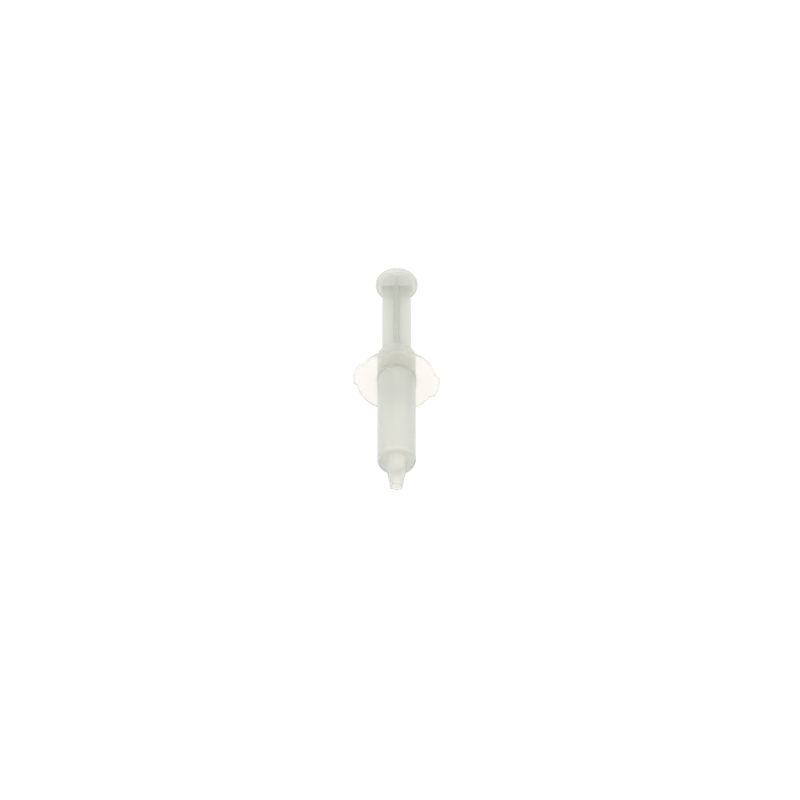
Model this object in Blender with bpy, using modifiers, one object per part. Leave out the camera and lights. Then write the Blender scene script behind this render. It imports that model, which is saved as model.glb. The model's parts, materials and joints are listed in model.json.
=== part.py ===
"""Oral dosing syringe of about 10 mL: a barrel, a plunger rod and a piston seal.

Each piece is modelled upright about its own Z axis. Z counts from the mouth of the nozzle towards
the thumb disc. One empty then lays the syringe on the table: it rests on the rim of the finger
flange and on the shoulder of the barrel, with the nozzle towards -Y.
Lengths are in millimetres here and become metres when a mesh is made.
"""

import math

import bmesh
import bpy
import numpy as np
from mathutils import Matrix, Vector

MM = 0.001

# Stations along the axis, from the mouth of the nozzle
NOZZLE_LENGTH = 15.6  # mouth to end face of the barrel
END_WALL = 1.0
FLOOR = NOZZLE_LENGTH + END_WALL  # bottom of the chamber
FLANGE_MIDDLE = 67.3
BARREL_RIM = 82.8  # open end of the barrel
THUMB_FACE = 128.2  # face of the thumb disc on the nozzle side

# Barrel
BARREL_R = 8.25
BORE_R = 7.45
SHOULDER_FILLET = 1.3
FLOOR_FILLET = 0.7
RIM_CHAMFER = 0.5
LIP_R = 6.95  # retaining lip inside the open end
LIP_LENGTH = 0.8
FLANGE_THICK = 1.6
FLANGE_R = 17.3
EAR_R = 18.8
EAR_HALF_ANGLE = 18.0  # degrees each side of the ear's middle
EAR_STEP = 3.5  # half the width, in degrees, of the step up to an ear
BARREL_ROLL = 12.0  # degrees about the axis, as the ears come to rest

# Nozzle: a cone cut by four sloping flats
NOZZLE_ROOT_R = 4.75
NOZZLE_MOUTH_R = 3.05
MOUTH_HALF_WIDTH = 2.55
MOUTH_HALF_HEIGHT = 1.78
WIDTH_SLOPE = 0.168
HEIGHT_SLOPE = 0.19
NOZZLE_WALL_MOUTH = 0.42
NOZZLE_WALL_ROOT = 0.7

# Plunger rod
THUMB_R = 9.15
THUMB_WEB = 1.9
THUMB_BEAD = 0.4  # the rim bead stands this far out of both faces
RIB_WIDTH = 12.4
RIB_THICK = 1.6
PUSHER_FRONT = 70.3
PUSHER_THICK = 1.4
PUSHER_R = 7.2
NECK_R = 2.1
BUTTON_R = 3.6
BUTTON_FRONT = 64.6
BUTTON_LENGTH = 3.0

# Piston seal
SEAL_FRONT = 61.4
SEAL_REAR = 70.0
SEAL_R = 7.3  # over the two sealing lips
SEAL_WAIST_R = 6.75
CLEARANCE = 0.3

STEPS = 48  # sides of a turned shape


def collection(name, hidden=False):
    made = bpy.data.collections.new(name)
    bpy.context.scene.collection.children.link(made)
    made.hide_render = hidden
    return made


def plastic(name, colour, roughness, transmission):
    material = bpy.data.materials.new(name)
    material.use_nodes = True
    shader = material.node_tree.nodes["Principled BSDF"]
    shader.inputs["Base Color"].default_value = (*colour, 1.0)
    shader.inputs["Roughness"].default_value = roughness
    shader.inputs["Metallic"].default_value = 0.0
    shader.inputs["IOR"].default_value = 1.49
    shader.inputs["Transmission Weight"].default_value = transmission
    return material


def add(name, mesh, where, material=None, cutter=False):
    obj = bpy.data.objects.new(name, mesh)
    where.objects.link(obj)
    if material is not None:
        mesh.materials.append(material)
    if cutter:
        obj.hide_render = True
        obj.display_type = "WIRE"
    return obj


def arc(centre_r, centre_z, radius, start, end, count):
    """Points of an arc in the (r, z) plane, from one angle to another in degrees."""
    angles = [math.radians(start + (end - start) * i / count) for i in range(count + 1)]
    return [(centre_r + radius * math.cos(a), centre_z + radius * math.sin(a)) for a in angles]


def turned(name, profile, where, material=None, cutter=False, steps=STEPS):
    """A solid turned about Z. The profile runs from the axis at the top, down the outside, to the axis at the bottom."""
    mesh = bpy.data.meshes.new(name)
    points = [(r * MM, 0.0, z * MM) for r, z in profile]
    mesh.from_pydata(points, [(i, i + 1) for i in range(len(points) - 1)], [])
    obj = add(name, mesh, where, material, cutter)
    screw = obj.modifiers.new("turn", "SCREW")
    screw.axis = "Z"
    screw.angle = math.tau
    screw.steps = steps
    screw.render_steps = steps
    screw.use_merge_vertices = True
    screw.merge_threshold = 0.00001
    screw.use_smooth_shade = False
    return obj


def block(name, size, middle, where, cutter=True):
    """A box of the given size, in millimetres, about the given middle."""
    shape = bmesh.new()
    bmesh.ops.create_cube(shape, size=1.0)
    bmesh.ops.scale(shape, vec=[s * MM for s in size], verts=shape.verts)
    bmesh.ops.translate(shape, vec=[m * MM for m in middle], verts=shape.verts)
    mesh = bpy.data.meshes.new(name)
    shape.to_mesh(mesh)
    shape.free()
    return add(name, mesh, where, cutter=cutter)


def boolean(obj, operation, other):
    """Joins or cuts with another solid, which from then on moves with the object."""
    other.parent = obj
    step = obj.modifiers.new(operation.lower() + "_" + other.name, "BOOLEAN")
    step.operation = operation
    step.solver = "EXACT"
    step.object = other
    return step


def ear_radius(angle):
    """Radius of the finger flange at an angle in degrees from the ear's middle line: a circle with two opposite ears."""
    away = abs((angle + 90.0) % 180.0 - 90.0)
    t = (EAR_HALF_ANGLE + EAR_STEP - away) / (2.0 * EAR_STEP)
    t = min(1.0, max(0.0, t))
    return FLANGE_R + (EAR_R - FLANGE_R) * t * t * (3.0 - 2.0 * t)


def flange_plate(name, where):
    """The flat flange, extruded from its outline and made a mesh so that it can be joined."""
    angles = []
    for middle in (0.0, 180.0):
        ends = (middle - 90.0, middle - EAR_HALF_ANGLE - EAR_STEP, middle - EAR_HALF_ANGLE + EAR_STEP)
        for low, high, count in (
            (ends[0], ends[1], 9),
            (ends[1], ends[2], 4),
            (ends[2], 2.0 * middle - ends[2], 6),
            (2.0 * middle - ends[2], 2.0 * middle - ends[1], 4),
            (2.0 * middle - ends[1], 2.0 * middle - ends[0], 9),
        ):
            angles += [low + (high - low) * i / count for i in range(count)]
    curve = bpy.data.curves.new(name, "CURVE")
    curve.dimensions = "2D"
    curve.fill_mode = "BOTH"
    curve.extrude = FLANGE_THICK / 2.0 * MM
    spline = curve.splines.new("POLY")
    spline.points.add(len(angles) - 1)
    for point, angle in zip(spline.points, angles):
        r = ear_radius(angle) * MM
        a = math.radians(angle)
        point.co = (r * math.cos(a), r * math.sin(a), 0.0, 1.0)
    spline.use_cyclic_u = True
    drawn = add(name + "_outline", curve, where)
    drawn.location.z = FLANGE_MIDDLE * MM
    bpy.context.view_layer.update()
    evaluated = drawn.evaluated_get(bpy.context.evaluated_depsgraph_get())
    mesh = bpy.data.meshes.new_from_object(evaluated)
    shape = bmesh.new()
    shape.from_mesh(mesh)
    bmesh.ops.remove_doubles(shape, verts=shape.verts, dist=0.000001)
    bmesh.ops.recalc_face_normals(shape, faces=shape.faces)
    shape.to_mesh(mesh)
    shape.free()
    plate = add(name, mesh, where, cutter=True)
    plate.matrix_world = drawn.matrix_world.copy()
    bpy.data.objects.remove(drawn)
    return plate


def nozzle_form(name, low, high, thinner_mouth, thinner_root, where):
    """A cone and a tapered box that cuts its four flats, between two stations. The bore uses the same form, made thinner by the wall."""

    def inset(z):
        t = z / NOZZLE_LENGTH
        return thinner_mouth + (thinner_root - thinner_mouth) * t

    def cone_r(z):
        return NOZZLE_MOUTH_R + (NOZZLE_ROOT_R - NOZZLE_MOUTH_R) * z / NOZZLE_LENGTH - inset(z)

    cone = turned(
        name,
        [(0.0, high), (cone_r(high), high), (cone_r(low), low), (0.0, low)],
        where,
        cutter=True,
    )
    box = block(name + "_flats", (2.0, 2.0, 2.0), (0.0, 0.0, 0.0), where)
    for corner in box.data.vertices:
        top = corner.co.z > 0.0
        z = high + 1.0 if top else low - 1.0
        half_width = MOUTH_HALF_WIDTH + WIDTH_SLOPE * z - inset(z)
        half_height = MOUTH_HALF_HEIGHT + HEIGHT_SLOPE * z - inset(z)
        corner.co = Vector(
            (
                math.copysign(half_width, corner.co.x) * MM,
                math.copysign(half_height, corner.co.y) * MM,
                z * MM,
            )
        )
    boolean(cone, "INTERSECT", box)
    return cone


def make_barrel(parts, cutters, material):
    outer = [(0.0, BARREL_RIM), (BARREL_R - RIM_CHAMFER, BARREL_RIM)]
    outer += [(BARREL_R, BARREL_RIM - RIM_CHAMFER)]
    outer += arc(
        BARREL_R - SHOULDER_FILLET, NOZZLE_LENGTH + SHOULDER_FILLET, SHOULDER_FILLET, 0.0, -90.0, 4
    )
    outer += [(0.0, NOZZLE_LENGTH)]
    barrel = turned("barrel", outer, parts, material)

    lip_foot = BARREL_RIM - LIP_LENGTH
    chamber = [(0.0, BARREL_RIM + 3.0), (LIP_R + 3.4, BARREL_RIM + 3.0)]
    chamber += [(LIP_R, BARREL_RIM - 0.4), (LIP_R, lip_foot), (BORE_R, lip_foot - 0.4)]
    chamber += arc(BORE_R - FLOOR_FILLET, FLOOR + FLOOR_FILLET, FLOOR_FILLET, 0.0, -90.0, 3)
    chamber += [(0.0, FLOOR)]
    bore = turned("chamber_cutter", chamber, cutters, cutter=True)

    boolean(barrel, "UNION", flange_plate("flange_plate", cutters))
    boolean(
        barrel, "UNION", nozzle_form("nozzle_outside", 0.0, NOZZLE_LENGTH + 0.5, 0.0, 0.0, cutters)
    )
    boolean(barrel, "DIFFERENCE", bore)
    boolean(
        barrel,
        "DIFFERENCE",
        nozzle_form(
            "nozzle_bore", -1.0, FLOOR + 1.0, NOZZLE_WALL_MOUTH, NOZZLE_WALL_ROOT, cutters
        ),
    )
    return barrel


def make_rod(parts, cutters, material):
    top = THUMB_FACE + THUMB_WEB
    disc = [(0.0, top), (7.0, top), (7.5, top + THUMB_BEAD)]
    disc += arc(THUMB_R - 0.8, top + THUMB_BEAD - 0.8, 0.8, 90.0, 0.0, 3)
    disc += arc(THUMB_R - 0.8, THUMB_FACE - THUMB_BEAD + 0.8, 0.8, 0.0, -90.0, 3)
    disc += [(7.9, THUMB_FACE - THUMB_BEAD), (7.5, THUMB_FACE), (0.0, THUMB_FACE)]
    rod = turned("plunger_rod", disc, parts, material)

    low, high = PUSHER_FRONT + 0.6, THUMB_FACE + 0.8
    for name, size in (
        ("rib_across", (RIB_WIDTH, RIB_THICK)),
        ("rib_upright", (RIB_THICK, RIB_WIDTH)),
    ):
        rib = block(name, (*size, high - low), (0.0, 0.0, (low + high) / 2.0), cutters)
        boolean(rod, "UNION", rib)

    button_rear = BUTTON_FRONT + BUTTON_LENGTH
    front = [(0.0, PUSHER_FRONT + PUSHER_THICK), (PUSHER_R - 0.3, PUSHER_FRONT + PUSHER_THICK)]
    front += [(PUSHER_R, PUSHER_FRONT + PUSHER_THICK - 0.3), (PUSHER_R, PUSHER_FRONT)]
    front += [(NECK_R, PUSHER_FRONT), (NECK_R, button_rear), (BUTTON_R, button_rear)]
    front += [(BUTTON_R, button_rear - 1.0), (BUTTON_R - 1.2, BUTTON_FRONT), (0.0, BUTTON_FRONT)]
    boolean(rod, "UNION", turned("rod_front", front, cutters, cutter=True))
    return rod


def make_seal(parts, cutters, material):
    outside = [(0.0, SEAL_REAR), (SEAL_WAIST_R - 0.5, SEAL_REAR), (SEAL_WAIST_R, SEAL_REAR - 0.4)]
    outside += [(SEAL_R, SEAL_REAR - 0.8), (SEAL_R, SEAL_REAR - 1.5), (SEAL_WAIST_R, SEAL_REAR - 2.1)]
    outside += [(SEAL_WAIST_R, SEAL_FRONT + 3.7), (SEAL_R, SEAL_FRONT + 3.1)]
    outside += [(SEAL_R, SEAL_FRONT + 2.3), (SEAL_WAIST_R - 0.1, SEAL_FRONT + 1.5)]
    # the domed front
    rim_r, rim_drop = 6.2, 1.0
    outside += [
        (rim_r * math.cos(a), SEAL_FRONT + rim_drop * (1.0 - math.sin(a)))
        for a in (math.radians(90.0 * i / 6) for i in range(6))
    ]
    outside += [(0.0, SEAL_FRONT)]
    seal = turned("piston_seal", outside, parts, material)

    button_rear = BUTTON_FRONT + BUTTON_LENGTH
    socket = [(0.0, SEAL_REAR + 2.0), (NECK_R + CLEARANCE + 0.001, SEAL_REAR + 2.0)]
    socket += [(NECK_R + CLEARANCE, button_rear + CLEARANCE)]
    socket += [(BUTTON_R + CLEARANCE, button_rear + CLEARANCE)]
    socket += [(BUTTON_R + CLEARANCE, button_rear - 1.1)]
    socket += [(BUTTON_R - 1.0, BUTTON_FRONT - CLEARANCE), (0.0, BUTTON_FRONT - CLEARANCE)]
    boolean(seal, "DIFFERENCE", turned("button_socket", socket, cutters, cutter=True))
    return seal


def points_of(obj):
    """The evaluated vertices of an object in its parent's space, as an array in metres."""
    evaluated = obj.evaluated_get(bpy.context.evaluated_depsgraph_get())
    mesh = evaluated.to_mesh()
    points = np.zeros(len(mesh.vertices) * 3)
    mesh.vertices.foreach_get("co", points)
    evaluated.to_mesh_clear()
    turn = np.array(obj.matrix_local.to_3x3())
    return points.reshape(-1, 3) @ turn.T


def resting_tilt(barrel_points):
    """The angle, in radians, by which the axis rises when the flange's rim and the shoulder stand on one plane."""
    z = barrel_points[:, 2]
    at_flange = barrel_points[abs(z - FLANGE_MIDDLE * MM) < FLANGE_THICK * MM]
    at_shoulder = barrel_points[z < (NOZZLE_LENGTH + 2.0 * SHOULDER_FILLET) * MM]

    def lowest(points, tilt):
        return (points[:, 2] * math.sin(tilt) - points[:, 1] * math.cos(tilt)).min()

    low, high = 0.0, math.radians(30.0)
    for _ in range(60):
        middle = (low + high) / 2.0
        if lowest(at_flange, middle) < lowest(at_shoulder, middle):
            low = middle
        else:
            high = middle
    return (low + high) / 2.0


def main():
    for obj in list(bpy.data.objects):
        bpy.data.objects.remove(obj, do_unlink=True)
    parts = collection("oral_syringe")
    cutters = collection("cutters", hidden=True)

    barrel = make_barrel(
        parts, cutters, plastic("natural_polypropylene", (0.80, 0.83, 0.78), 0.38, 0.6)
    )
    rod = make_rod(parts, cutters, plastic("natural_polyethylene", (0.78, 0.79, 0.71), 0.42, 0.4))
    seal = make_seal(parts, cutters, plastic("pale_elastomer", (0.72, 0.77, 0.72), 0.5, 0.2))
    barrel.rotation_euler.z = math.radians(BARREL_ROLL)
    for piece in (barrel, rod, seal):
        for face in piece.data.polygons:
            face.use_smooth = True

    laid = bpy.data.objects.new("laid_down", None)
    parts.objects.link(laid)
    for piece in (barrel, rod, seal):
        piece.parent = laid
    bpy.context.view_layer.update()

    # Lay the syringe down: its Z axis turns to +Y and rises by the resting tilt.
    points = {piece.name: points_of(piece) for piece in (barrel, rod, seal)}
    tilt = resting_tilt(points["barrel"])
    laid.rotation_euler = (tilt - math.radians(90.0), 0.0, 0.0)
    turn = np.array(Matrix.Rotation(tilt - math.radians(90.0), 3, "X"))
    everything = np.vstack(list(points.values())) @ turn.T
    low, high = everything.min(axis=0), everything.max(axis=0)
    laid.location = (-(low[0] + high[0]) / 2.0, -(low[1] + high[1]) / 2.0, -low[2])
    bpy.context.view_layer.update()
    return laid


laid_down = main()
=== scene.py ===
"""Looks for the oral syringe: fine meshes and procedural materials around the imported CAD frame."""

import json
import math

import bmesh
import bpy
import numpy as np
from mathutils import Matrix, Vector


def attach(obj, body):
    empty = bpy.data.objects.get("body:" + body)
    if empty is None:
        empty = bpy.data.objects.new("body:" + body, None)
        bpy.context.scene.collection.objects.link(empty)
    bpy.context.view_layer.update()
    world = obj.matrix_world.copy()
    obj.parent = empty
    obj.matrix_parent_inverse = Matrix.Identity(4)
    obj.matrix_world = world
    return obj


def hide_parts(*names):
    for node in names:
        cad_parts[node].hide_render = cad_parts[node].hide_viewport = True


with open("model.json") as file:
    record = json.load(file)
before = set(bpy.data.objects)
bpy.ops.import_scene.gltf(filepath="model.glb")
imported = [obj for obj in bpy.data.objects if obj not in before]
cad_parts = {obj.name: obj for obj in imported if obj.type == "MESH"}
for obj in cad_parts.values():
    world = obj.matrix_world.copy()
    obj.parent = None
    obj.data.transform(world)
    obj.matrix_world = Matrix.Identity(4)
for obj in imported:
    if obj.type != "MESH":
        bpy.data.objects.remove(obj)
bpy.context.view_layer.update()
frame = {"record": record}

# ---------------------------------------------------------------- frame of the syringe's axis
record = frame["record"]
mounts = {m["name"]: m for m in record["mounts"]}
AXIS = Vector(mounts["thumb_rest"]["axis"]).normalized()
THUMB_TOP = 130.1  # station of the thumb rest, in mm from the nozzle's mouth
MOUTH = Vector(mounts["thumb_rest"]["pos_m"]) - AXIS * THUMB_TOP * 0.001
SIDE = Vector((1.0, 0.0, 0.0))
DOWN = AXIS.cross(SIDE)  # local +Y, which points down
LAID = Matrix((SIDE, DOWN, AXIS)).transposed().to_4x4()
LAID.translation = MOUTH

# ---------------------------------------------------------------- sizes, in mm, as in the CAD
NOZZLE = 15.6
FLOOR = 16.6
FLANGE = (66.5, 68.1)
RIM = 82.8
THUMB_FACE = 128.2
R_OUT, R_BORE, R_LIP = 8.25, 7.45, 6.95
FLANGE_R, EAR_R = 17.3, 18.8
EAR_HALF, EAR_STEP = 18.0, 3.5
ROLL = math.radians(12.0)


# ---------------------------------------------------------------- mesh making
def arc(cr, cs, radius, start, end, count):
    """Points (r, s) of an arc from one angle to another, in degrees."""
    a = np.radians(np.linspace(start, end, count + 1))
    return [(cr + radius * math.cos(x), cs + radius * math.sin(x)) for x in a]


def line(a, b, count):
    """Points between two (r, s) points, both ends left out. r may be an array over the angles."""
    return [
        (a[0] + (b[0] - a[0]) * i / count, a[1] + (b[1] - a[1]) * i / count)
        for i in range(1, count)
    ]


def swept(name, phis, rings, material, body, node, zones=((0, 0.0),), roll=0.0, looped=False, sharp=38.0):
    """A closed surface made of rings round the axis. Each ring is (radius, station); either may be an array over the
    angles. zones lists (first ring, clarity): 0 for frosted steel in the mould, 1 for polished, and clarity is also
    raised on some zones as painted light that lightens parts lying in shade.
    """
    n = len(phis)
    cos, sin = np.cos(phis + roll), np.sin(phis + roll)
    points, faces, clarity = [], [], []
    for k in range(len(rings)):
        clarity += [[value for first, value in zones if first <= k][-1]] * n
    for r, s in rings:
        r = np.broadcast_to(np.asarray(r, float), (n,))
        s = np.broadcast_to(np.asarray(s, float), (n,))
        points.append(np.stack([r * cos, r * sin, s], axis=1))
    points = np.concatenate(points) * 0.001
    count = len(rings)
    for k in range(count if looped else count - 1):
        a, b = k * n, ((k + 1) % count) * n
        for i in range(n):
            j = (i + 1) % n
            faces.append((a + i, a + j, b + j, b + i))
    points = [tuple(p) for p in points]
    if not looped:
        for k in (0, count - 1):
            s = float(np.mean(np.asarray(rings[k][1], float)))
            middle = len(points)
            points.append((0.0, 0.0, s * 0.001))
            clarity.append(clarity[k * n])
            for i in range(n):
                faces.append((k * n + i, k * n + (i + 1) % n, middle))
    mesh = bpy.data.meshes.new(name)
    mesh.from_pydata(points, [], faces)
    mesh.attributes.new("clarity", "FLOAT", "POINT").data.foreach_set("value", clarity)
    shape = bmesh.new()
    shape.from_mesh(mesh)
    bmesh.ops.recalc_face_normals(shape, faces=shape.faces)
    if shape.calc_volume(signed=True) < 0:
        bmesh.ops.reverse_faces(shape, faces=shape.faces)
    shape.to_mesh(mesh)
    shape.free()
    mesh.shade_smooth()
    mesh.set_sharp_from_angle(angle=math.radians(sharp))
    mesh.transform(LAID)
    mesh.update()
    obj = bpy.data.objects.new(name, mesh)
    bpy.context.scene.collection.objects.link(obj)
    mesh.materials.append(material)
    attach(obj, body)
    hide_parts(node)
    return obj


# ---------------------------------------------------------------- sections
def ear_radius(phis):
    away = np.abs((np.degrees(phis) + 90.0) % 180.0 - 90.0)
    t = np.clip((EAR_HALF + EAR_STEP - away) / (2 * EAR_STEP), 0, 1)
    return FLANGE_R + (EAR_R - FLANGE_R) * t * t * (3 - 2 * t)


def nozzle_section(phis, s, inset=0.0, power=26.0):
    """A round cone cut by four sloping flats, with its ridges slightly rounded."""
    cone = 3.05 + (4.75 - 3.05) * s / NOZZLE - inset
    width = 2.55 + 0.168 * s - inset
    height = 1.78 + 0.19 * s - inset
    c, d = np.abs(np.cos(phis)) + 1e-9, np.abs(np.sin(phis)) + 1e-9
    total = cone**-power + (width / c) ** -power + (height / d) ** -power
    return total ** (-1.0 / power)


def cross_section(phis, grow=0.0, half_thick=0.8, half_width=6.2, tip=0.28, root=0.7):
    """Radius of a four-ribbed cross at each angle, with rounded rib tips and filleted roots."""
    ht, hw = half_thick + grow, half_width + grow
    rc = tip + grow
    rc = min(rc, ht - 0.02)
    out = np.empty(len(phis))
    for i, phi in enumerate(phis):
        a = phi % (math.pi / 2)
        if a > math.pi / 4:
            a = math.pi / 2 - a
        c, s = math.cos(a), math.sin(a)
        if math.tan(a) <= (ht - rc) / hw:
            out[i] = hw / c
        elif math.tan(a) <= ht / (hw - rc):
            m = c * (hw - rc) + s * (ht - rc)
            q = (hw - rc) ** 2 + (ht - rc) ** 2 - rc * rc
            out[i] = m + math.sqrt(max(m * m - q, 0.0))
        elif math.tan(a) <= ht / (ht + root):
            out[i] = ht / s
        else:
            m = (c + s) * (ht + root)
            q = 2 * (ht + root) ** 2 - root * root
            out[i] = m - math.sqrt(max(m * m - q, 0.0))
    return out


# ---------------------------------------------------------------- materials
def new_material(name):
    material = bpy.data.materials.new(name)
    material.use_nodes = True
    nodes = material.node_tree.nodes
    nodes.clear()
    return material, nodes, material.node_tree.links


def noise(nodes, links, scale, detail=3.0, rough=0.5, stretch=None):
    """A noise in object space. Object space is in metres, so scale is per metre."""
    place = nodes.new("ShaderNodeTexCoord")
    vector = place.outputs["Object"]
    if stretch is not None:
        turn = nodes.new("ShaderNodeMapping")
        turn.inputs["Rotation"].default_value = (math.atan2(AXIS.z, AXIS.y) * -1.0, 0.0, 0.0)
        turn.inputs["Scale"].default_value = stretch
        links.new(vector, turn.inputs["Vector"])
        vector = turn.outputs["Vector"]
    made = nodes.new("ShaderNodeTexNoise")
    made.inputs["Scale"].default_value = scale
    made.inputs["Detail"].default_value = detail
    made.inputs["Roughness"].default_value = rough
    links.new(vector, made.inputs["Vector"])
    return made.outputs["Fac"]


def ranged(nodes, links, value, low, high, start=0.3, end=0.7):
    m = nodes.new("ShaderNodeMapRange")
    m.inputs["From Min"].default_value = start
    m.inputs["From Max"].default_value = end
    m.inputs["To Min"].default_value = low
    m.inputs["To Max"].default_value = high
    links.new(value, m.inputs["Value"])
    return m.outputs["Result"]


def by_angle(nodes, links, normal, low, high, power):
    """A value that runs from low, seen square on, to high at a grazing angle, on either side of the wall."""
    weight = nodes.new("ShaderNodeLayerWeight")
    weight.inputs["Blend"].default_value = 0.5
    links.new(normal, weight.inputs["Normal"])
    curve = nodes.new("ShaderNodeMath")
    curve.operation = "POWER"
    curve.inputs[1].default_value = power
    links.new(weight.outputs["Facing"], curve.inputs[0])
    scaled = nodes.new("ShaderNodeMath")
    scaled.operation = "MULTIPLY_ADD"
    scaled.inputs[1].default_value = high - low
    scaled.inputs[2].default_value = low
    links.new(curve.outputs[0], scaled.inputs[0])
    return scaled.outputs[0]


def shifted(nodes, links, share, start, end):
    """A colour that runs from start to end with share."""
    made = nodes.new("ShaderNodeMix")
    made.data_type = "RGBA"
    made.inputs["A"].default_value = (*start, 1.0)
    made.inputs["B"].default_value = (*end, 1.0)
    links.new(share, made.inputs["Factor"])
    return made.outputs["Result"]


def natural_plastic(name, clear, milk, haze, roughness, depth, tone, ior=1.3, gloss_rough=0.2):
    """Undyed translucent plastic. clear tints what shines straight through and milk is the colour of what is scattered,
    each for frosted and for clear zones; a zone is clear where the mould was polished, and on some zones the clarity is
    painted light that lightens parts lying in shade. haze is the share of light scattered at each surface: square on,
    at a grazing angle, and the part of it left in the clear zones. roughness is for frosted and for clear zones. depth
    and tone are the density and colour of what the wall absorbs.
    """
    material, nodes, links = new_material(name)
    out = nodes.new("ShaderNodeOutputMaterial")

    # fine moulding texture and a slow unevenness along the flow
    fine = noise(nodes, links, 5200.0, 2.0, 0.55)
    slow = noise(nodes, links, 150.0, 2.0, 0.4, stretch=(1.0, 0.3, 1.0))
    bump_fine = nodes.new("ShaderNodeBump")
    bump_fine.inputs["Strength"].default_value = 0.10
    bump_fine.inputs["Distance"].default_value = 0.00003
    links.new(fine, bump_fine.inputs["Height"])
    bump = nodes.new("ShaderNodeBump")
    bump.inputs["Strength"].default_value = 0.25
    bump.inputs["Distance"].default_value = 0.00012
    links.new(slow, bump.inputs["Height"])
    links.new(bump_fine.outputs["Normal"], bump.inputs["Normal"])
    normal = bump.outputs["Normal"]
    # the clarity attribute: a polished mould, and on some zones a painted lift that lightens shaded parts
    zone = nodes.new("ShaderNodeAttribute")
    zone.attribute_name = "clarity"
    polish_and_painted_lift = zone.outputs["Fac"]

    see = nodes.new("ShaderNodeBsdfGlass")
    see.distribution = "GGX"
    links.new(shifted(nodes, links, polish_and_painted_lift, *clear), see.inputs["Color"])
    see.inputs["IOR"].default_value = ior
    frosted = ranged(nodes, links, polish_and_painted_lift, roughness[0], roughness[1], 0.0, 1.0)
    uneven = nodes.new("ShaderNodeMath")
    uneven.operation = "MULTIPLY"
    links.new(frosted, uneven.inputs[0])
    links.new(ranged(nodes, links, slow, 0.94, 1.06), uneven.inputs[1])
    links.new(uneven.outputs[0], see.inputs["Roughness"])
    links.new(normal, see.inputs["Normal"])

    cloudy = shifted(nodes, links, polish_and_painted_lift, *milk)
    scatter = nodes.new("ShaderNodeBsdfTranslucent")
    links.new(cloudy, scatter.inputs["Color"])
    links.new(normal, scatter.inputs["Normal"])
    back = nodes.new("ShaderNodeBsdfDiffuse")
    links.new(cloudy, back.inputs["Color"])
    links.new(normal, back.inputs["Normal"])
    milky = nodes.new("ShaderNodeMixShader")
    milky.inputs["Fac"].default_value = 0.5
    links.new(scatter.outputs[0], milky.inputs[1])
    links.new(back.outputs[0], milky.inputs[2])

    cloud = nodes.new("ShaderNodeMath")
    cloud.operation = "MULTIPLY"
    links.new(by_angle(nodes, links, normal, haze[0], haze[1], 2.0), cloud.inputs[0])
    links.new(ranged(nodes, links, slow, 0.95, 1.05), cloud.inputs[1])
    thinned = nodes.new("ShaderNodeMath")
    thinned.operation = "MULTIPLY"
    links.new(cloud.outputs[0], thinned.inputs[0])
    links.new(ranged(nodes, links, polish_and_painted_lift, 1.0, haze[2], 0.0, 1.0), thinned.inputs[1])
    inside = nodes.new("ShaderNodeMixShader")
    links.new(thinned.outputs[0], inside.inputs["Fac"])
    links.new(see.outputs[0], inside.inputs[1])
    links.new(milky.outputs[0], inside.inputs[2])

    gloss = nodes.new("ShaderNodeBsdfGlossy")
    gloss.inputs["Color"].default_value = (1.0, 1.0, 1.0, 1.0)
    links.new(ranged(nodes, links, fine, gloss_rough * 0.9, gloss_rough * 1.15), gloss.inputs["Roughness"])
    links.new(normal, gloss.inputs["Normal"])
    surface = nodes.new("ShaderNodeMixShader")
    links.new(by_angle(nodes, links, normal, 0.03, 0.4, 4.0), surface.inputs["Fac"])
    links.new(inside.outputs[0], surface.inputs[1])
    links.new(gloss.outputs[0], surface.inputs[2])
    links.new(surface.outputs[0], out.inputs["Surface"])
    body = nodes.new("ShaderNodeVolumeAbsorption")
    body.inputs["Color"].default_value = (*tone, 1.0)
    body.inputs["Density"].default_value = depth
    links.new(body.outputs[0], out.inputs["Volume"])
    return material


TONE = (0.50, 0.55, 0.50)
barrel_plastic = natural_plastic(
    "natural_polypropylene",
    clear=((0.932, 0.909, 0.886), (0.966, 0.944, 0.915)),
    milk=((0.70, 0.775, 0.74), (0.93, 0.965, 0.94)),
    haze=(0.21, 0.84, 0.60),
    roughness=(0.38, 0.18),
    depth=42.0,
    tone=TONE,
    ior=1.2,
)
rod_plastic = natural_plastic(
    "natural_polypropylene_rod",
    clear=((0.79, 0.775, 0.72), (0.97, 0.965, 0.95)),
    milk=((0.88, 0.905, 0.875), (0.96, 0.985, 0.96)),
    haze=(0.36, 0.55, 1.0),
    roughness=(0.36, 0.36),
    depth=100.0,
    tone=TONE,
)
seal_plastic = natural_plastic(
    "pale_elastomer",
    clear=((0.97, 0.985, 0.97), (0.97, 0.985, 0.97)),
    milk=((0.975, 0.99, 0.98), (0.975, 0.99, 0.98)),
    haze=(0.85, 0.95, 1.0),
    roughness=(0.4, 0.4),
    depth=5.0,
    tone=TONE,
)

# ---------------------------------------------------------------- barrel
phis = np.radians(np.arange(0.0, 360.0, 1.0))
ears = ear_radius(phis)
EDGE = 0.42  # rounding of the flange's rim
FOOT = 0.25  # fillet between tube and flange
rings = []
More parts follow.
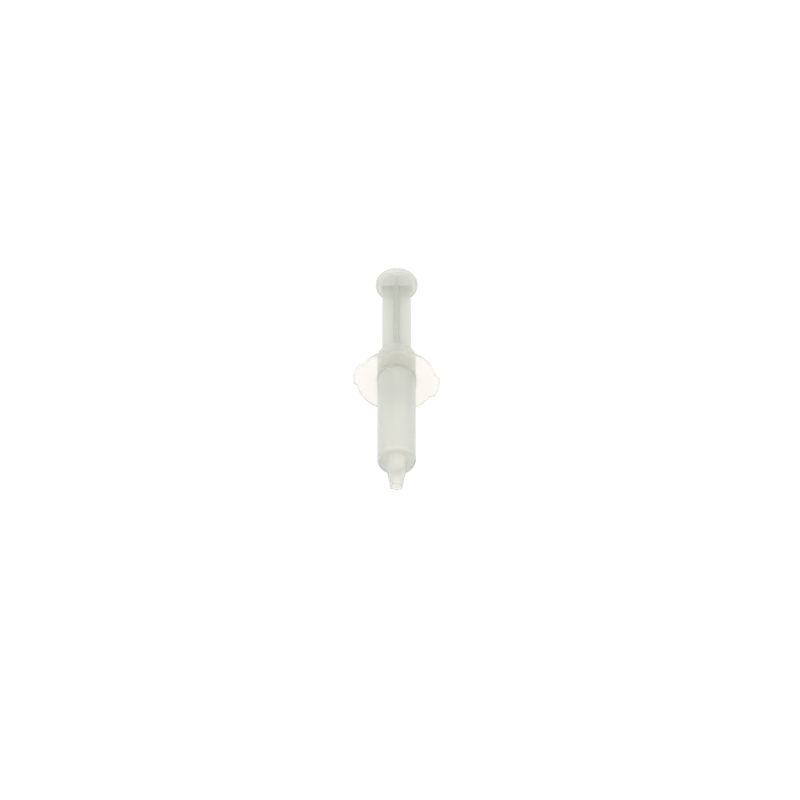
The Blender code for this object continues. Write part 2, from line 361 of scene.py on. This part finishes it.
# nozzle, outside, from the mouth to the root
mouth_round = 0.12
rings += [(nozzle_section(phis, 0.0) - mouth_round, 0.0)]
for a in (30.0, 60.0, 90.0):
    t = math.radians(a)
    rings.append(
        (
            nozzle_section(phis, mouth_round) - mouth_round * (1 - math.sin(t)),
            mouth_round * (1 - math.cos(t)),
        )
    )
root_fillet = 0.7
last = NOZZLE - root_fillet
for s in np.linspace(0.5, last, 26):
    rings.append((nozzle_section(phis, float(s)), float(s)))
base = nozzle_section(phis, last)
for a in np.radians(np.linspace(12, 90, 7)):
    rings.append((base + root_fillet * (1 - math.cos(a)), last + root_fillet * math.sin(a)))
inner = base + root_fillet
for i in range(1, 5):
    rings.append((inner + (R_OUT - 1.3 - inner) * i / 5, NOZZLE))
rings += arc(R_OUT - 1.3, NOZZLE + 1.3, 1.3, -90, 0, 10)
rings += line((R_OUT, NOZZLE + 1.3), (R_OUT, FLANGE[0] - FOOT), 24)
tube_end = len(rings)
for a in np.radians(np.linspace(0, 90, 8)):
    rings.append((R_OUT + FOOT * (1 - math.cos(a)), FLANGE[0] - FOOT + FOOT * math.sin(a)))
start = R_OUT + FOOT
# the tube is made clearer towards the mouth; towards the flange the clarity rises as painted light, lightening the tube
# where the flange shades it
barrel_zones = [(k, 0.42 - 0.042 * k) for k in range(11)] + [(tube_end - 10 + k, 0.042 * k) for k in range(1, 11)] + [(len(rings), 1.0)]
for i in range(1, 12):
    rings.append((start + (ears - EDGE - start) * i / 12, FLANGE[0]))
barrel_zones.append((len(rings), 0.42))
for a in np.radians(np.linspace(-90, 0, 7)):
    rings.append((ears - EDGE + EDGE * math.cos(a), FLANGE[0] + EDGE + EDGE * math.sin(a)))
for a in np.radians(np.linspace(0, 90, 7)):
    rings.append((ears - EDGE + EDGE * math.cos(a), FLANGE[1] - EDGE + EDGE * math.sin(a)))
barrel_zones.append((len(rings), 1.0))
for i in range(1, 12):
    rings.append((ears - EDGE + (start - ears + EDGE) * i / 12, FLANGE[1]))
# painted light: the rear fillet and the collar up to the rim are made clearer and lighter where the flange shades them
barrel_zones.append((len(rings), 0.42))
for a in np.radians(np.linspace(90, 0, 8)):
    rings.append((R_OUT + FOOT * (1 - math.cos(a)), FLANGE[1] + FOOT - FOOT * math.sin(a)))
rings += line((R_OUT, FLANGE[1] + FOOT), (R_OUT, RIM - 0.5), 10)
rings += arc(R_OUT - 0.5, RIM - 0.5, 0.5, 0, 90, 6)
rings += [(R_LIP + 0.45, RIM)]
rings += arc(R_LIP + 0.45, RIM - 0.45, 0.45, 100, 180, 5)
rings += [(R_LIP, RIM - 0.8), (R_LIP + 0.06, RIM - 0.92), (R_BORE - 0.08, RIM - 1.12), (R_BORE, RIM - 1.25)]
barrel_zones.append((len(rings), 0.8))  # the core pin that forms the bore is polished
rings += line((R_BORE, RIM - 1.25), (R_BORE, FLOOR + 0.7), 40)
rings += arc(R_BORE - 0.7, FLOOR + 0.7, 0.7, 0, -90, 7)
bore_root = nozzle_section(phis, NOZZLE, 0.7)
for i in range(1, 5):
    rings.append((R_BORE - 0.7 + (bore_root + 0.5 - R_BORE + 0.7) * i / 5, FLOOR))
for a in np.radians(np.linspace(90, 180, 6)):
    rings.append((bore_root + 0.5 + 0.5 * math.cos(a), FLOOR - 0.5 + 0.5 * math.sin(a)))
barrel_zones.append((len(rings), 1.0))
for s in np.linspace(NOZZLE - 0.6, 0.12, 26):
    wall = 0.42 + (0.7 - 0.42) * s / NOZZLE
    rings.append((nozzle_section(phis, float(s), wall), float(s)))
rings += [(nozzle_section(phis, 0.0, 0.42) + 0.04, 0.03), (nozzle_section(phis, 0.0, 0.42) + 0.10, 0.0)]
barrel = swept(
    "barrel_moulding", phis, rings, barrel_plastic, "barrel", "barrel", barrel_zones, ROLL, True
)

# ---------------------------------------------------------------- plunger rod
extra = [m + d for m in (0.0, 90.0, 180.0, 270.0) for d in np.arange(-9.0, 9.01, 0.45)]
angles = sorted(set(np.round(np.concatenate([np.arange(0.0, 360.0, 2.5), np.array(extra) % 360.0]), 4)))
rod_phis = np.radians(np.array(angles))
WEB_TOP = THUMB_TOP
BEAD = 0.4
rings = []
# outer face, with the gate's small dish and nib in the middle
rings += [(0.25, WEB_TOP + 0.05), (0.5, WEB_TOP + 0.03), (0.62, WEB_TOP - 0.12), (0.8, WEB_TOP - 0.2)]
rings += [(1.6, WEB_TOP - 0.2), (1.8, WEB_TOP - 0.16), (2.0, WEB_TOP - 0.04), (2.2, WEB_TOP)]
rings += line((2.2, WEB_TOP), (6.6, WEB_TOP), 7)
rings += [(6.6, WEB_TOP), (6.9, WEB_TOP + 0.03), (7.15, WEB_TOP + 0.14), (7.4, WEB_TOP + 0.29)]
rings += [(7.65, WEB_TOP + 0.37), (7.95, WEB_TOP + BEAD)]
# painted light: the thumb rest's outer face is made a little clearer to lighten the disc, which faces away from the
# overhead light
rod_zones = [(0, 0.2), (len(rings), 0.0)]
rings += arc(9.15 - 0.85, WEB_TOP + BEAD - 0.85, 0.85, 90, 0, 9)
rings += arc(9.15 - 0.85, THUMB_FACE - BEAD + 0.85, 0.85, 0, -90, 9)
# painted light: the front bead of the thumb rest is made clearer to lighten the disc where it faces away from the
# lights
rod_zones.append((len(rings), 0.7))
rings += [(7.95, THUMB_FACE - BEAD), (7.7, THUMB_FACE - 0.37), (7.45, THUMB_FACE - 0.25)]
rings += [(7.25, THUMB_FACE - 0.1), (7.05, THUMB_FACE - 0.01)]
rod_zones.append((len(rings), 0.0))
fil = 0.5
outline = cross_section(rod_phis, fil)
for i in range(0, 8):
    rings.append((7.0 + (outline - 7.0) * i / 8, THUMB_FACE))
for a in np.radians(np.linspace(90, 0, 7)):
    grow = fil * (1 - math.cos(a))
    rings.append((cross_section(rod_phis, grow), THUMB_FACE - fil + fil * math.sin(a)))
for s in np.linspace(THUMB_FACE - fil - 0.8, 71.7 + fil + 0.8, 30):
    rings.append((cross_section(rod_phis), float(s)))
for a in np.radians(np.linspace(0, 90, 7)):
    grow = fil * (1 - math.cos(a))
    rings.append((cross_section(rod_phis, grow), 71.7 + fil - fil * math.sin(a)))
for i in range(1, 6):
    rings.append((outline + (6.9 - outline) * i / 6, 71.7))
# painted light: the pusher at the rod's tip is made fully clear to lighten the shade inside the barrel at the flange
rod_zones.append((len(rings), 1.0))
rings += arc(7.2 - 0.25, 71.7 - 0.25, 0.25, 90, 0, 4)
rings += arc(7.2 - 0.2, 70.3 + 0.2, 0.2, 0, -90, 4)
rings += line((7.0, 70.3), (2.1 + 0.3, 70.3), 5)
rings += [(2.4, 70.3), (2.2, 70.2), (2.1, 70.0), (2.1, 68.8), (2.1, 67.75), (2.2, 67.62)]
rings += [(2.4, 67.6), (3.4, 67.6)]
rings += arc(3.4, 67.4, 0.2, 80, 0, 3)
rings += [(3.6, 67.0), (3.6, 66.7), (3.5, 66.45), (2.6, 64.85), (2.4, 64.68), (2.1, 64.6), (1.0, 64.6)]
rod = swept(
    "plunger_rod_moulding", rod_phis, rings, rod_plastic, "plunger", "plunger_rod", rod_zones
)

# ---------------------------------------------------------------- piston seal
seal_phis = np.radians(np.arange(0.0, 360.0, 2.0))
rings = [(5.9 * math.cos(a), 61.4 + 1.0 * (1 - math.sin(a))) for a in np.radians(np.linspace(88, 12, 12))]
rings += [(6.05, 62.35), (6.35, 62.62), (6.65, 62.9), (6.95, 63.25), (7.18, 63.6), (7.28, 63.85)]
rings += [(7.3, 64.1), (7.27, 64.35), (7.15, 64.6), (6.92, 64.9), (6.78, 65.2), (6.75, 65.5)]
rings += [(6.75, 66.2), (6.75, 67.2), (6.78, 67.6), (6.92, 67.95), (7.15, 68.25), (7.27, 68.5)]
rings += [(7.3, 68.8), (7.27, 69.1), (7.12, 69.4), (6.85, 69.72), (6.5, 69.92), (6.1, 70.0)]
rings += line((6.1, 70.0), (2.7, 70.0), 5)
rings += [(2.6, 69.97), (2.45, 69.85), (2.4, 69.6), (2.4, 68.2), (2.45, 67.98), (2.6, 67.9)]
rings += [(3.7, 67.9), (3.85, 67.85), (3.9, 67.7), (3.9, 66.5), (3.8, 66.2), (2.8, 64.5), (2.5, 64.32)]
rings += [(2.0, 64.3), (0.8, 64.3)]
seal = swept("piston_seal_moulding", seal_phis, rings, seal_plastic, "piston", "piston_seal")

# ---------------------------------------------------------------- stage
floor_mesh = bpy.data.meshes.new("floor")
floor_shape = bmesh.new()
bmesh.ops.create_grid(floor_shape, x_segments=2, y_segments=2, size=12.0)
floor_shape.to_mesh(floor_mesh)
floor_shape.free()
floor = bpy.data.objects.new("floor", floor_mesh)
bpy.context.scene.collection.objects.link(floor)
floor.location.z = -0.0001
floor_material, nodes, links = new_material("light_table")
out = nodes.new("ShaderNodeOutputMaterial")
glow = nodes.new("ShaderNodeEmission")
glow.inputs["Color"].default_value = (1.0, 1.0, 1.0, 1.0)
glow.inputs["Strength"].default_value = 1.03
shade = nodes.new("ShaderNodeBsdfDiffuse")
shade.inputs["Color"].default_value = (0.05, 0.05, 0.05, 1.0)
both = nodes.new("ShaderNodeAddShader")
links.new(glow.outputs[0], both.inputs[0])
links.new(shade.outputs[0], both.inputs[1])
links.new(both.outputs[0], out.inputs["Surface"])
floor_mesh.materials.append(floor_material)

world = bpy.data.worlds.new("studio")
bpy.context.scene.world = world
world.use_nodes = True
world.node_tree.nodes["Background"].inputs["Color"].default_value = (1.0, 1.0, 1.0, 1.0)
world.node_tree.nodes["Background"].inputs["Strength"].default_value = 1.0


def area(name, place, target, size, power, colour=(1.0, 1.0, 1.0)):
    data = bpy.data.lights.new(name, "AREA")
    data.shape = "RECTANGLE"
    data.size, data.size_y = size
    data.energy = power
    data.color = colour
    obj = bpy.data.objects.new(name, data)
    bpy.context.scene.collection.objects.link(obj)
    obj.location = place
    obj.visible_camera = False
    obj.rotation_euler = (Vector(target) - Vector(place)).to_track_quat("-Z", "Y").to_euler()
    return obj


area("softbox_left", (-0.9, -0.4, 1.1), (0, 0, 0.02), (0.9, 0.9), 7.0)
area("softbox_right", (1.0, 0.2, 1.0), (0, 0, 0.02), (0.5, 0.9), 4.0)
area("softbox_front", (0.1, -1.4, 0.9), (0, 0, 0.02), (1.2, 0.9), 14.0)
area("overhead", (0.0, 0.3, 1.5), (0, 0, 0.02), (1.2, 1.2), 4.0)

# ---------------------------------------------------------------- camera, at the photograph's angle
ELEVATION = math.radians(31.9)
DISTANCE = 4.0
SCALE = 800.0 * 16.5e-3 / 38.5  # metres across the frame at the object
camera_data = bpy.data.cameras.new("camera")
camera_data.sensor_width = 36.0
camera_data.lens = 36.0 * DISTANCE / SCALE
camera_data.clip_end = 100.0
camera = bpy.data.objects.new("camera", camera_data)
bpy.context.scene.collection.objects.link(camera)
back = Vector((0.0, -math.cos(ELEVATION), math.sin(ELEVATION)))
target = MOUTH + AXIS * 0.0548 + SIDE * 0.00146
camera.location = target + back * DISTANCE
camera.rotation_euler = (-back).to_track_quat("-Z", "Y").to_euler()
bpy.context.scene.camera = camera
bpy.context.scene.view_settings.view_transform = "Standard"
